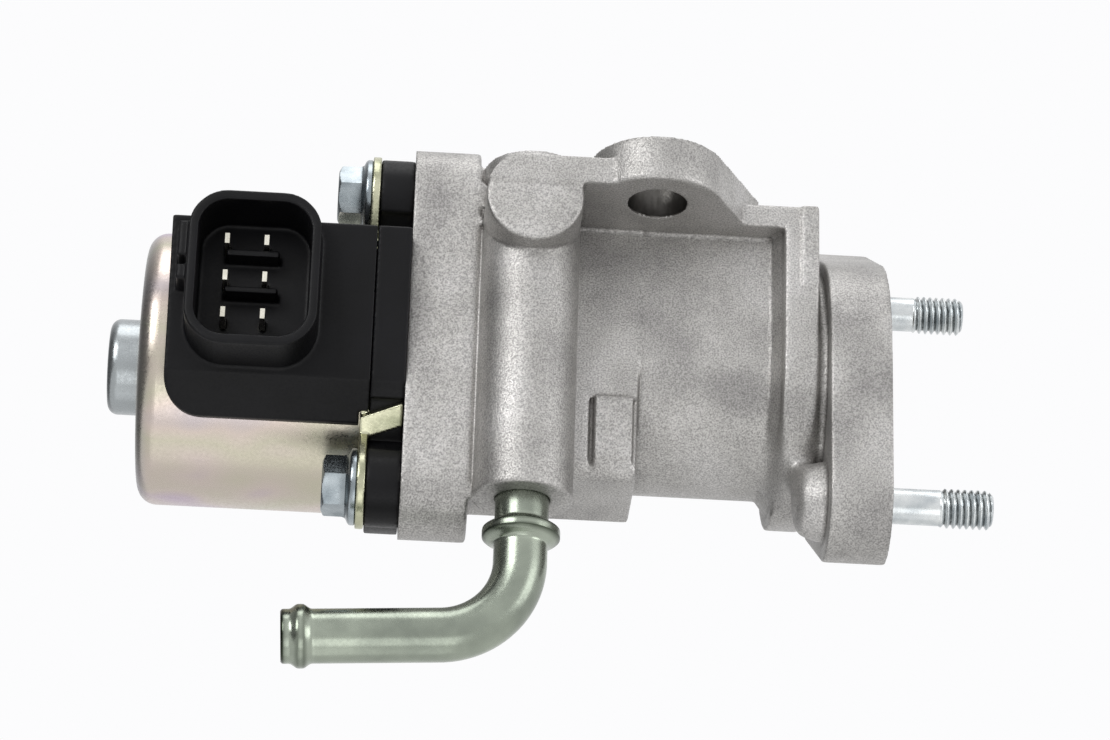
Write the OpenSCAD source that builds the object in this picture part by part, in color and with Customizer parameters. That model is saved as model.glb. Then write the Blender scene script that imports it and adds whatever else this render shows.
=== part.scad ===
// Stepper-driven exhaust gas recirculation valve with a water-cooled cast body.
// The origin is the centre of the inlet flange face. The valve axis is X and the
// inlet face looks along +X. The top mounting face looks along +Z.

/* [Inlet flange] */
// Thickness of the inlet flange
inlet_flange_t = 9.4; // [6:0.1:14]
// Radius of the round centre of the inlet flange
inlet_flange_r = 21.9; // [21:0.1:22.5]
// Diameter of the circle through the two studs
stud_pcd = 52.4; // [48:0.1:58]
// Angle of the stud line, from the front-to-back line
stud_angle = 60; // [50:1:70]
// Radius of the lobe round each stud
stud_lobe_r = 9; // [7:0.1:11]
// Diameter of each stud
stud_d = 6; // [5:0.1:8]
// Length of stud that stands out of the flange
stud_out = 16; // [12:0.5:24]
// Depth of each stud in the flange
stud_in = 8; // [6:0.1:8.5]
// Radius of the exhaust passage at the inlet
inlet_r = 13; // [12.6:0.1:13.5]
// Depth of the wide mouth of the inlet
inlet_mouth_l = 14; // [12:0.5:16]
// Radius of the boss behind the lower stud lobe
stud_boss_r = 6; // [5.5:0.1:6.5]
// Length of the boss behind the lower stud lobe
stud_boss_l = 4.8; // [3:0.1:6]
// Width of the slot between that boss and the flange
boss_slot_w = 0.6; // [0.4:0.1:1]

/* [Body] */
// Half width and bottom radius of the main body
body_r = 15.9; // [15:0.1:16.5]
// Height of the underside of the mounting plate
plate_z = 20; // [18:0.1:22]
// Right end of the collar behind the inlet flange
collar_x1 = -10.9; // [-11.5:0.1:-10.5]
// Length of the collar along the axis
collar_l = 5.3; // [4:0.1:6]
// Half width and bottom radius of the collar
collar_r = 20.3; // [19.5:0.1:21]
// Length of the slope between the collar and the main body
collar_slope = 1.7; // [1:0.1:2.5]
// Height of the slope between the collar and the main body
collar_slope_h = 2.2; // [1:0.1:3]
// Radius of the groove floor between the collar and the flange
groove_r = 19.4; // [18.5:0.1:20]
// Width of the raised pad on the collar side
collar_pad_w = 2.6; // [2:0.1:3.5]
// How far the raised pad stands proud of the collar
collar_pad_t = 0.4; // [0.3:0.1:0.8]
// Height of the lower end of the raised pad
collar_pad_z = 10; // [8:0.5:12]
// Right end of the wide chamber next to the motor flange
chamber_x1 = -37.9; // [-40:0.1:-36]
// Distance of the chamber front wall from the axis
chamber_front = 16.1; // [16:0.1:17]
// Distance of the chamber floor below the axis
chamber_floor = 21.3; // [20:0.1:22]
// Depth of the flat part of the chamber floor, from its front wall
chamber_flat = 17.6; // [15:0.1:20]
// Height of the slope at the back of the chamber floor
chamber_slope_h = 8; // [5:0.5:10]
// Radius of the long lower edges of the chamber
chamber_edge_r = 3; // [2:0.1:4]
// Width of the lug on the chamber front wall
lug_w = 5.8; // [5:0.1:7]
// How far the lug stands proud of the chamber wall
lug_t = 0.4; // [0.3:0.1:0.8]
// Height of the top of the lug
lug_top = -8.4; // [-10:0.1:-6]
// Width of the casting groove on each side of the lug
lug_groove = 0.8; // [0.6:0.1:1.2]

/* [Mounting plate face] */
// Height of the machined top face
top_z = 27; // [25.5:0.1:29]
// Thickness of the web beside the coolant boss
web_t = 4.3; // [3:0.1:5]
// Thickness of the right part of the plate
rail_t = 3.7; // [3:0.1:5]
// Distance between the two mounting bolt holes
bolt_spacing = 50.8; // [48:0.1:54]
// Place of the mounting bolt holes and the outlet along the axis
outlet_x = -36.3; // [-37:0.1:-35.5]
// Radius of each mounting bolt hole
bolt_hole_r = 4.5; // [3.5:0.1:5]
// Radius of the broad ear at each mounting bolt hole
ear_r = 10.4; // [10:0.1:11]
// How far the centre of each ear lies inside its bolt hole
ear_inset = 1.7; // [1:0.1:2]
// Radius of the gas outlet
outlet_r = 8.5; // [7:0.1:9]
// Radius of the machined face round the gas outlet
outlet_face_r = 13; // [12:0.1:14]
// Right end of the machined face, where the straight shoulders of both ears end
shoulder_x = -19.8; // [-20.5:0.1:-19]
// Distance of those ends from the axis
shoulder_y = 14.8; // [14:0.1:15.5]
// Distance of the web front edge from the axis
web_front = 31.5; // [31:0.1:32]
// How far the round pad stands back from the web front edge
pad_back = 0.4; // [0.3:0.1:0.6]

/* [Coolant boss and pipe] */
// Place of the coolant boss along the axis
boss_x = -55.1; // [-55.4:0.1:-54.8]
// Distance of the coolant boss in front of the axis
boss_y = 20; // [19.5:0.1:20.5]
// Radius of the coolant boss
boss_r = 7.5; // [7:0.1:7.8]
// Distance of the boss end face below the axis
boss_drop = 28; // [26:0.1:30]
// Radius of the round pad at the top of the boss
pad_r = 7.4; // [6.5:0.1:7.8]
// Height of the centre of the round pad
pad_z = 17.6; // [17.2:0.1:18.4]
// Radius of the coolant passage
coolant_r = 3.4; // [2.5:0.1:3.6]
// Outside diameter of the coolant pipe
pipe_d = 8; // [7.4:0.1:9]
// Wall of the coolant pipe
pipe_wall = 1; // [0.8:0.1:1.2]
// Depth of the pipe in the boss
pipe_in = 12; // [8:0.5:16]
// Distance from the boss face to the middle of the pipe bead
pipe_bead_drop = 5.5; // [4:0.1:7]
// Radius of the pipe bead
pipe_bead_r = 5.8; // [5:0.1:6.5]
// Length of the pipe bead
pipe_bead_l = 4.2; // [3:0.1:5]
// Centre line radius of the pipe bend
pipe_bend_r = 12; // [9:0.5:14]
// Angle of the pipe bend
pipe_bend_angle = 86.5; // [80:0.5:90]
// Distance from the bead to the start of the bend
pipe_drop = 4.3; // [3:0.1:6]
// Length of the straight hose end of the pipe
pipe_run = 23.2; // [18:0.1:28]
// Radius of the bead that holds the hose
hose_bead_r = 4.7; // [4.2:0.1:5.2]
// Length of the bead that holds the hose
hose_bead_l = 3.8; // [3:0.1:5]
// Length of plain pipe past the hose bead
hose_lip = 1.4; // [1:0.1:2]

/* [Motor flange and base] */
// Right face of the motor flange of the casting
motor_flange_x1 = -63.1; // [-63.6:0.1:-63]
// Thickness of the motor flange of the casting
motor_flange_t = 10.1; // [8:0.1:12]
// Distance of the three motor bolts from the axis
motor_bolt_r = 28.2; // [27.5:0.1:29]
// Radius of the lobes of the motor flange
motor_lobe_r = 7.6; // [7:0.1:8.5]
// Thickness of the plastic base
base_t = 5.2; // [4:0.1:7]
// How far the round middle of the plastic base stands out past the can
base_margin = 2.8; // [2.4:0.1:3]
// Radius of the ears of the plastic base
base_lobe_r = 5.9; // [5.5:0.1:6.2]
// Depth of the base spigot in the casting
spigot_l = 2; // [1.5:0.1:2.2]
// Radius of the spring space in the casting
spring_space_r = 11.6; // [11:0.1:12]
// Thickness of the steel mounting plate of the motor
motor_plate_t = 1.3; // [1:0.1:2]
// Radius of the ears of the steel mounting plate
motor_plate_lobe_r = 6.3; // [6:0.1:7]
// Width of the bent tabs of the steel mounting plate
tab_w = 3.4; // [2.5:0.1:3.6]
// Angle of the bent tabs above and below the front
tab_angle = 43.5; // [43:0.1:44]
// Slant of the bent tabs towards the front
tab_slant = 22; // [16:1:24]
// Thread diameter of the motor bolts
motor_bolt_d = 5; // [4:0.1:5.4]
// Width across the flats of the motor bolt heads
motor_bolt_af = 8; // [7:0.1:8.5]
// Height of the hexagon of the motor bolt heads
motor_bolt_head = 3.7; // [3:0.1:5]
// Diameter of the washer face of the motor bolts
motor_bolt_flange_d = 11.6; // [10:0.1:12]
// Thickness of the washer face of the motor bolts
motor_bolt_flange_t = 1.5; // [1:0.1:2]
// Depth of the motor bolts in the casting
motor_bolt_in = 8.5; // [6:0.1:9]

/* [Motor] */
// Radius of the motor can
can_r = 21; // [20.5:0.1:21.6]
// Length of the motor can
can_l = 33.8; // [33:0.1:36]
// Wall of the motor can
can_wall = 1; // [0.8:0.1:1.2]
// Outside edge radius of the closed end of the can
can_edge_r = 3; // [2:0.1:4]
// Radius of the bearing boss at the closed end
can_boss_r = 7.4; // [7:0.1:8]
// Length of the bearing boss at the closed end
can_boss_l = 5.3; // [4.5:0.1:6]
// Edge radius of the bearing boss
can_boss_edge_r = 1.6; // [1.2:0.1:2]
// Thickness of the pole plates
yoke_t = 1.1; // [0.9:0.1:1.3]
// Radius of the pole teeth on the inside
yoke_r = 11.2; // [11:0.1:11.6]
// Number of teeth on each pole plate
yoke_teeth = 12; // [10:1:12]
// Thickness of the pole teeth
tooth_t = 0.9; // [0.7:0.1:1]
// Width of the pole teeth
tooth_w = 1.8; // [1.5:0.1:2]
// Radius of the rotor magnet
magnet_r = 10.7; // [10.4:0.1:10.8]
// Radius of the hole in the rotor magnet
magnet_bore_r = 7; // [6.5:0.1:7.5]
// Length of the rotor magnet
magnet_l = 23; // [20:0.1:24]
// Diameter of the screw
screw_d = 6; // [5.4:0.1:6.2]
// Running clearance of shafts and bores
run_gap = 0.05; // [0.03:0.01:0.08]
// Bore radius of the ball bearing
bearing_bore_r = 4; // [3.9:0.1:4.2]
// Outside radius of the ball bearing
bearing_r = 8; // [7.8:0.1:8.2]
// Width of the ball bearing
bearing_w = 5; // [4.5:0.1:5.5]
// Number of balls in the bearing
bearing_balls_n = 9; // [7:1:9]

/* [Valve] */
// Lift of the valve
lift = 4.5; // [3.5:0.1:4.6]
// Radius of the valve stem
stem_r = 3; // [2.7:0.1:3.2]
// Radius of the valve head
head_r = 11; // [10.5:0.1:11.4]
// Thickness of the valve head at its rim
head_rim_t = 1.6; // [1.2:0.1:2.2]
// Radius of the opening in the seat ring
seat_r = 9.4; // [8.8:0.1:9.6]
// Thickness of the seat ring
seat_t = 4; // [3.5:0.1:5]
// Outside radius of the seat ring
seat_ring_r = 12.4; // [12:0.1:12.5]
// Place of the inlet side of the seat ring
seat_x1 = -22; // [-23:0.1:-21]
// Gap between the closed valve head and its seat
seat_gap = 0.08; // [0.05:0.01:0.12]
// Radius of the gas space between the seat and the stem guide
gas_r = 11.6; // [11:0.1:12]
// Right end of the wall that holds the stem guide
guide_wall_x1 = -49; // [-49.5:0.1:-48.5]
// Thickness of the wall that holds the stem guide
guide_wall_t = 6; // [5:0.1:6.5]
// Radius of the stem guide
guide_r = 5; // [4.5:0.1:5.4]
// Length of the stem guide
guide_l = 12.5; // [11:0.1:13]
// Length of the stem seal
seal_l = 1.6; // [1.2:0.1:1.8]
// Radius of the wire of the return spring
spring_wire_r = 0.6; // [0.5:0.05:0.7]
// Radius of the return spring at the middle of its wire
spring_r = 8.4; // [8:0.1:9]
// Turns of the return spring
spring_turns = 5; // [4:1:6]
// Thickness of the spring retainer
retainer_t = 1.3; // [1:0.1:1.6]

/* [Connector] */
// Angle of the housing front below the front of the valve
connector_tilt = 16; // [14:1:18]
// Angle of the socket below the front of the valve
socket_tilt = 5; // [4:1:7]
// Place of the middle of the socket along the axis
socket_x = -96.6; // [-97:0.1:-96]
// Left end of the connector housing
housing_x0 = -109.2; // [-110:0.1:-108.5]
// Thickness of the housing in front of the can
housing_cover = 3; // [2.6:0.1:3.5]
// Radius of the lower left corner of the housing
housing_corner_r = 5.5; // [4:0.1:7]
// Height of the housing top above the axis
housing_top = 19.7; // [19:0.1:20]
// Depth of the lower edge of the housing front below the axis
housing_crease = 3.9; // [3.5:0.1:4.2]
// Depth of the housing floor below the axis
housing_floor = 10.1; // [9.5:0.1:10.3]
// Distance of the housing floor edge from the axis
housing_floor_front = 20.5; // [20:0.1:22]
// Width of the socket
socket_w = 19.8; // [19:0.1:20.5]
// Height of the socket
socket_h = 24.4; // [24:0.1:25]
// Height of the middle of the socket above the axis
socket_z = 4.8; // [4.4:0.1:5.2]
// Corner radius of the socket
socket_corner_r = 6; // [5:0.1:7]
// Wall of the socket
socket_wall = 1.5; // [1.2:0.1:2]
// Distance of the socket rim from the axis
socket_rim = 32.7; // [32:0.1:34]
// Thickness of the housing between the can and the socket floor
socket_floor_t = 1.4; // [1.2:0.1:2]
// Distance between the pins across the socket
pin_pitch_x = 5.9; // [5.5:0.1:6.2]
// Distance between the rows of pins
pin_pitch_z = 5.9; // [5.6:0.1:6.1]
// Offset of the pins from the middle of the socket
pin_offset = -1.3; // [-1.5:0.1:0]
// Height of the middle row of pins above the middle of the socket
pin_rise = 0.5; // [0:0.1:1]
// Width of a pin
pin_w = 0.7; // [0.6:0.05:1]
// Height of a pin
pin_h = 1.6; // [1.4:0.1:1.9]
// How far the pin ends lie below the socket rim
pin_recess = 5; // [4:0.1:5.5]
// Width of the ribs below the upper two rows of pins
rib_w = 8; // [7:0.1:8.4]

/* [Hidden] */
$fn = 96;
eps = 0.01;

stud_r = stud_pcd / 2;
stud_root_r = stud_d / 2 - 0.5;
stud_sink = 0.8;
collar_x0 = collar_x1 - collar_l;
slope_x0 = collar_x0 - collar_slope;
motor_face_x = motor_flange_x1 - motor_flange_t;
base_x0 = motor_face_x - base_t;
plate_x0 = base_x0 - motor_plate_t;
can_x0 = plate_x0 - can_l;
bolt_y = bolt_spacing / 2;
rail_top = plate_z + rail_t;
lug_x1 = chamber_x1 - lug_groove;
lug_x0 = lug_x1 - lug_w;
guide_wall_x0 = guide_wall_x1 - guide_wall_t;
guide_x0 = guide_wall_x1 - guide_l;
seal_x0 = guide_x0 - seal_l;
clear = 0.6;
retainer_x1 = seal_x0 - clear - lift;
retainer_x0 = retainer_x1 - retainer_t;
retainer_step = 0.5;
stem_neck_r = stem_r - 0.7;
stem_end_x = retainer_x0 - clear;
seat_x0 = seat_x1 - seat_t;
seat_cone = head_r - seat_r;
screw_r = screw_d / 2;
screw_flat = screw_r * 0.7;
screw_tip_x = stem_end_x - clear / 2;
bearing_x1 = base_x0 - 0.8;
bearing_x0 = bearing_x1 - bearing_w;
hub_boss_r = bearing_r + 1.8;
stack_x0 = can_x0 + can_wall;
stack_l = plate_x0 - stack_x0;
phase_l = stack_l / 2;
magnet_x1 = bearing_x0 - 1.2;
magnet_x0 = magnet_x1 - magnet_l;
can_end_x = can_x0 - can_boss_l;
bush_r = can_boss_r - can_wall;
bush_x0 = can_end_x + can_wall;
bush_x1 = stack_x0;
journal_r = 4;
washer_r = 5.6;
washer_t = 0.3;
hub_x0 = stack_x0 + 0.9;
bobbin_wall = 1;
coil_r0 = yoke_r + tooth_t + 1.5;
bobbin_r1 = can_r - can_wall - 0.3;
tooth_turn = 180 / yoke_teeth;
tooth_l = phase_l - yoke_t - 1;
rear_yoke_x0 = stack_x0 + 0.2;
rear_bobbin_x0 = rear_yoke_x0 + yoke_t;
rear_bobbin_x1 = stack_x0 + phase_l - yoke_t;
front_bobbin_x0 = stack_x0 + phase_l + yoke_t;
front_bobbin_x1 = plate_x0 - yoke_t;
ear_y = bolt_y - ear_inset;
base_r = can_r + base_margin;
housing_front = can_r + housing_cover;
socket_base = can_r + socket_floor_t;
pin_tip = socket_rim - pin_recess;
pin_root = 1;
rib_h = 1;
rib_drop = 1.6;
rib_shift = 1;
rib_back = 1.5;
lock_reach = 1.5;
lock_in = 1;
window_w = 8;
lead_w = window_w - 0.2;
foot_in = 0.7;
tab_l = motor_plate_t + base_t - 0.1;
tab_shift = tab_l * tan(tab_slant);
slot_w = tab_w + tab_shift + 1;
seal_groove_r0 = spring_space_r + 1.6;
seal_wire_r = 0.85;
seal_r = seal_groove_r0 + 1.25;
spring_steps = 24;
spring_sides = 10;
pipe_lap = 0.2;
plate_gap = 0.2;
tab_room = 3;
tab_lean = 0.6;
bolt_room = motor_bolt_flange_t + motor_bolt_head + 3;

// A bar between two circles that lie distance d apart, closed by their outer tangents.
// The sides stand a hair inside the circles, so that each meets them in clean points.
module tangent_bar(r1, r2, d) {
  a = acos((r1 - r2) / d);
  s1 = r1 - eps;
  s2 = r2 - eps;
  circle(r = r1);
  translate([d, 0]) circle(r = r2);
  polygon([
    [s1 * cos(a), s1 * sin(a)], [s1 * cos(a), -s1 * sin(a)],
    [d + s2 * cos(a), -s2 * sin(a)], [d + s2 * cos(a), s2 * sin(a)]
  ]);
}

// Turns a flat profile into a bar along X, with the profile's x along Y and its y along Z
module along_x(x0, x1) {
  translate([x0, 0, 0]) rotate([90, 0, 90]) linear_extrude(x1 - x0) children();
}

module rod_x(r, x0, x1) {
  translate([x0, 0, 0]) rotate([0, 90, 0]) cylinder(r = r, h = x1 - x0);
}

module tube_x(r1, r0, x0, x1) {
  difference() {
    rod_x(r1, x0, x1);
    rod_x(r0, x0 - 1, x1 + 1);
  }
}

// Turns a profile of [distance from the axis, place along X] round the valve axis
module turned_x(points) {
  rotate([90, 0, 90]) rotate_extrude() polygon(points);
}

// A closed half circle at the bottom with straight sides up to height z1
module u_profile(r, z1) {
  circle(r = r);
  translate([-r, 0]) square([2 * r, z1]);
}

module rounded_rect(w, h, r) {
  square([w - 2 * r, h], center = true);
  square([w, h - 2 * r], center = true);
  for (sx = [-1, 1], sy = [-1, 1]) translate([sx * (w / 2 - r), sy * (h / 2 - r)]) circle(r = r);
}

// Places children at each of the three motor bolts
module at_motor_bolts() {
  for (a = [60, 180, 300]) rotate([a, 0, 0]) translate([0, -motor_bolt_r, 0]) children();
}

// The frame of the tilted connector housing: -Y leads out of its front
module in_connector() {
  rotate([connector_tilt, 0, 0]) children();
}

module inlet_flange_profile() {
  rotate(stud_angle) tangent_bar(inlet_flange_r, stud_lobe_r, stud_r);
  rotate(stud_angle + 180) tangent_bar(inlet_flange_r, stud_lobe_r, stud_r);
}

module motor_flange_profile(lobe_r) {
  side = motor_bolt_r / 2 + lobe_r - eps;
  for (a = [60, 180, 300]) rotate(a) translate([-motor_bolt_r, 0]) circle(r = lobe_r);
  for (a = [0, 120, 240]) rotate(a)
    translate([-side, -motor_bolt_r * sin(60)]) square([side, 2 * motor_bolt_r * sin(60)]);
}

// Section of the chamber beside the motor flange
module chamber_profile() {
  f = -chamber_front;
  r = chamber_edge_r;
  y2 = f + chamber_flat;
  polygon([
    [f, plate_z], [f, -chamber_floor + r], [f + r, -chamber_floor + r], [f + r, -chamber_floor],
    [y2, -chamber_floor], [chamber_front, -chamber_floor + chamber_slope_h],
    [chamber_front, plate_z]
  ]);
  translate([f + r, -chamber_floor + r]) circle(r = r);
}

// Slope from the collar down to the main body, round below and straight at the sides
module collar_slope_shape() {
  r1 = body_r + collar_slope_h;
  turned_x([[0, slope_x0], [body_r, slope_x0], [r1, collar_x0], [0, collar_x0]]);
  linear_extrude(plate_z) polygon([
    [slope_x0, -body_r], [collar_x0, -r1], [collar_x0, r1], [slope_x0, body_r]
  ]);
}

// The broad ear round one bolt hole, with its straight shoulder to the end of the machined face.
// The shoulder starts where the tangent from that end meets the ear.
module ear_outline(side) {
  reach = shoulder_x - outlet_x;
  drop = shoulder_y - ear_y;
  a = atan2(drop, reach) + acos(ear_r / norm([reach, drop]));
  r = ear_r - eps;
  translate([outlet_x, side * ear_y]) circle(r = ear_r);
  polygon([
    [outlet_x, side * ear_y], [outlet_x + r * cos(a), side * (ear_y + r * sin(a))],
    [shoulder_x, side * shoulder_y], [shoulder_x, 0], [outlet_x, 0]
  ]);
}

module plate_outline() {
  x0 = boss_x - pad_r;
  translate([x0, -collar_r]) square([collar_x1 - x0, 2 * collar_r]);
  translate([x0, -web_front]) square([outlet_x - x0, web_front]);
  for (s = [-1, 1]) ear_outline(s);
}

// The parts of the top that rise to the machined face
module top_face_outline() {
  translate([outlet_x, 0]) circle(r = outlet_face_r);
  for (s = [-1, 1]) ear_outline(s);
  translate([boss_x, -boss_y]) circle(r = boss_r);
}

module body_solid() {
  // inlet flange with its two stud lobes
  along_x(-inlet_flange_t, 0) inlet_flange_profile();
  rod_x(groove_r, collar_x1 - 1, -inlet_flange_t + eps);
  rotate([stud_angle, 0, 0]) translate([0, -stud_r, 0])
    rod_x(stud_boss_r, -inlet_flange_t - stud_boss_l, -inlet_flange_t + eps);
  // collar and the slope behind it
  along_x(collar_x0, collar_x1) u_profile(collar_r, rail_top);
  collar_slope_shape();
  // raised pad on the collar side
  translate([collar_x1 - collar_pad_w, -collar_r - collar_pad_t, collar_pad_z])
    cube([collar_pad_w, 2, rail_top - collar_pad_z]);
  // main body and the wide chamber
  along_x(chamber_x1 - 1, collar_x0) u_profile(body_r, plate_z + 1);
  along_x(motor_flange_x1 - 1, chamber_x1) chamber_profile();
  // lug on the chamber wall
  translate([lug_x0, -chamber_front - lug_t, -chamber_floor + chamber_edge_r])
    cube([lug_w, lug_t + 1, lug_top + chamber_floor - chamber_edge_r]);
  // coolant boss with its round pad
  translate([boss_x, -boss_y, -boss_drop]) cylinder(r = boss_r, h = boss_drop + top_z);
  translate([boss_x, -boss_y, pad_z]) rotate([90, 0, 0])
    cylinder(r = pad_r, h = web_front - pad_back - boss_y);
  translate([boss_x - boss_r * 0.8, -boss_y, -chamber_floor + 4])
    cube([boss_r * 1.6, boss_y - chamber_front + 2, chamber_floor - 4 + plate_z]);
  // top plate
  translate([0, 0, plate_z]) linear_extrude(rail_t) plate_outline();
  translate([boss_x - pad_r, -web_front, plate_z])
    cube([outlet_x - boss_x + pad_r, web_front + collar_r, web_t]);
  translate([0, 0, plate_z]) linear_extrude(top_z - plate_z) top_face_outline();
  // flange for the motor
  along_x(motor_face_x, motor_flange_x1) motor_flange_profile(motor_lobe_r);
}

module valve_body() {
  color("#b9b6ae") difference() {
    body_solid();
    // exhaust passage, seat bore and gas space
    rod_x(inlet_r, -inlet_mouth_l, 1);
    rod_x(seat_ring_r, seat_x0, -inlet_mouth_l + eps);
    rod_x(gas_r, guide_wall_x1, seat_x0 + eps);
    translate([outlet_x, 0, 0]) cylinder(r = outlet_r, h = top_z + 1);
    // slot between the flange and the boss of the lower stud
    translate([-inlet_flange_t - boss_slot_w, -inlet_flange_r - stud_lobe_r, -boss_drop])
      cube([boss_slot_w, inlet_flange_r + stud_lobe_r - groove_r + 2, boss_drop]);
    // stem guide bore and spring space
    rod_x(guide_r, guide_wall_x0 - 1, guide_wall_x1 + 1);
    rod_x(spring_space_r, motor_face_x - 1, guide_wall_x0);
    // groove for the seal of the motor base
    tube_x(2 * seal_r - seal_groove_r0, seal_groove_r0, motor_face_x - 1, motor_face_x + 2 * seal_wire_r);
    // countersunk holes for the studs, and holes for the motor bolts
    for (a = [stud_angle, stud_angle + 180]) rotate([a, 0, 0]) translate([0, stud_r, 0]) {
      rod_x(stud_root_r, -stud_in, 1);
      translate([-stud_sink, 0, 0]) rotate([0, 90, 0])
        cylinder(r1 = stud_root_r, r2 = stud_root_r + stud_sink + 0.2, h = stud_sink + 0.2);
    }
    at_motor_bolts() rod_x(motor_bolt_d / 2, motor_face_x - 1, motor_face_x + motor_bolt_in);
    // mounting bolt holes
    for (s = [-1, 1]) translate([outlet_x, s * bolt_y, plate_z - 1])
      cylinder(r = bolt_hole_r, h = top_z - plate_z + 2);
    // coolant passage with the socket for the pipe
    translate([boss_x, -boss_y, -boss_drop - 1]) cylinder(r = coolant_r, h = boss_drop + top_z + 2);
    translate([boss_x, -boss_y, -boss_drop - 1]) cylinder(r = pipe_d / 2, h = pipe_in + 1);
    // casting groove on each side of the lug
    for (x = [lug_x0 - lug_groove, lug_x1]) translate([x, -chamber_front - 1, -chamber_floor - 1])
      cube([lug_groove, 1 + lug_groove, chamber_floor + 1 + lug_top]);
  }
}

module valve_seat() {
  color("#8d8a84") turned_x([
    [seat_r, seat_x0], [seat_ring_r, seat_x0], [seat_ring_r, seat_x1],
    [head_r, seat_x1], [seat_r, seat_x1 - seat_cone]
  ]);
}

module valve_head() {
  x0 = seat_x1 - seat_cone + seat_gap * sqrt(2);
  color("#7c7a76") turned_x([
    [stem_r, x0 - 1.5], [stem_r + 2, x0 - 1.5], [seat_r - 0.6, x0 - 0.6], [seat_r, x0],
    [head_r, x0 + seat_cone], [head_r, x0 + seat_cone + head_rim_t],
    [head_r - 3, x0 + seat_cone + head_rim_t], [head_r - 4, x0 + seat_cone + head_rim_t - 0.8],
    [stem_r, x0 + seat_cone + head_rim_t - 0.8]
  ]);
}

module valve_stem() {
  head_x = seat_x1 + seat_gap * sqrt(2) + head_rim_t - 0.8;
  shoulder_x = retainer_x1 - retainer_step;
  color("#a9a9a6") turned_x([
    [0, stem_end_x], [stem_neck_r, stem_end_x], [stem_neck_r, shoulder_x], [stem_r, shoulder_x],
    [stem_r, head_x], [stem_r + 1, head_x], [stem_r + 0.4, head_x + 0.9], [0, head_x + 1.1]
  ]);
}

module stem_guide() {
  color("#b08d57") difference() {
    union() {
      rod_x(guide_r, guide_x0, guide_wall_x1);
      rod_x(guide_r + 1, guide_wall_x0 - 1.5, guide_wall_x0);
    }
    rod_x(stem_r + run_gap, guide_x0 - 1, guide_wall_x1 + 1);
  }
}

module stem_seal() {
  color("#2b2b2b") tube_x(guide_r - 0.5, stem_r + run_gap, seal_x0 + 0.3, guide_x0);
}

module seal_cup() {
  color("#c4c4c0") difference() {
    rod_x(guide_r + 0.5, seal_x0, guide_x0 + 2);
    rod_x(guide_r, guide_x0, guide_x0 + 3);
    rod_x(guide_r - 0.5, seal_x0 + 0.3, guide_x0 + 1);
    rod_x(stem_r + 0.4, seal_x0 - 1, guide_x0 + 1);
  }
}

// The wire is swept along its helix in short steps, with a flat cap at both ends
module return_spring() {
  x0 = retainer_x1 + spring_wire_r;
  steps = spring_turns * spring_steps;
  climb = (guide_wall_x0 - spring_wire_r - x0) / steps;
  n = spring_sides;
  points = [for (i = [0 : steps], j = [0 : n - 1])
    let (a = i * 360 / spring_steps, b = j * 360 / n, r = spring_r + spring_wire_r * cos(b))
    [x0 + i * climb + spring_wire_r * sin(b), r * cos(a), r * sin(a)]];
  sides = [for (i = [0 : steps - 1], j = [0 : n - 1])
    let (k = i * n, m = (j + 1) % n) [k + j, k + n + j, k + n + m, k + m]];
  start = [for (j = [0 : n - 1]) j];
  end = [for (j = [0 : n - 1]) steps * n + n - 1 - j];
  color("#9a9a9a") polyhedron(points, concat([start], sides, [end]));
}

module spring_retainer() {
  color("#c9c7bf") difference() {
    union() {
      rod_x(spring_r + spring_wire_r + 0.6, retainer_x0, retainer_x1);
      rod_x(spring_r - spring_wire_r - 0.3, retainer_x1 - eps, retainer_x1 + 0.5);
    }
    rod_x(stem_neck_r, retainer_x0 - 1, retainer_x1);
    rod_x(stem_r, retainer_x1 - retainer_step, retainer_x1 + 2);
  }
}

// The end in the flange has the root radius of the thread, so the full round starts at the face
module inlet_studs() {
  c = 0.6;
  color("#c2c8c8") for (a = [stud_angle, stud_angle + 180]) rotate([a, 0, 0])
    translate([0, stud_r, 0]) turned_x([
      [0, -stud_in], [stud_root_r, -stud_in], [stud_root_r, 0], [stud_d / 2, 0],
      [stud_d / 2, stud_out - c], [stud_d / 2 - c, stud_out], [0, stud_out]
    ]);
}

module coolant_pipe() {
  r1 = pipe_d / 2;
  r0 = r1 - pipe_wall;
  bead_z = -boss_drop - pipe_bead_drop;
  bend_z = bead_z - pipe_bead_l / 2 - pipe_drop + 2;
  h = pipe_bead_l / 2;
  b = pipe_bead_r;
  color("#a8a88c") difference() {
    union() {
      translate([boss_x, -boss_y, 0]) {
        translate([0, 0, bend_z - pipe_lap]) cylinder(r = r1, h = pipe_in - boss_drop - bend_z + pipe_lap);
        translate([0, 0, bead_z]) rotate_extrude() polygon([
          [r0, -h], [r1, -h], [b - 0.4, -0.5], [b, -0.1], [b, 0.6], [b - 0.6, 1.3], [r1, h], [r0, h]
        ]);
      }
      translate([boss_x, -boss_y, bend_z]) pipe_bend_and_run(r1, true);
    }
    translate([boss_x, -boss_y, bend_z]) cylinder(r = r0, h = pipe_in - boss_drop - bend_z + 1);
    translate([boss_x, -boss_y, bend_z]) pipe_bend_and_run(r0, false);
  }
}

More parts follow.
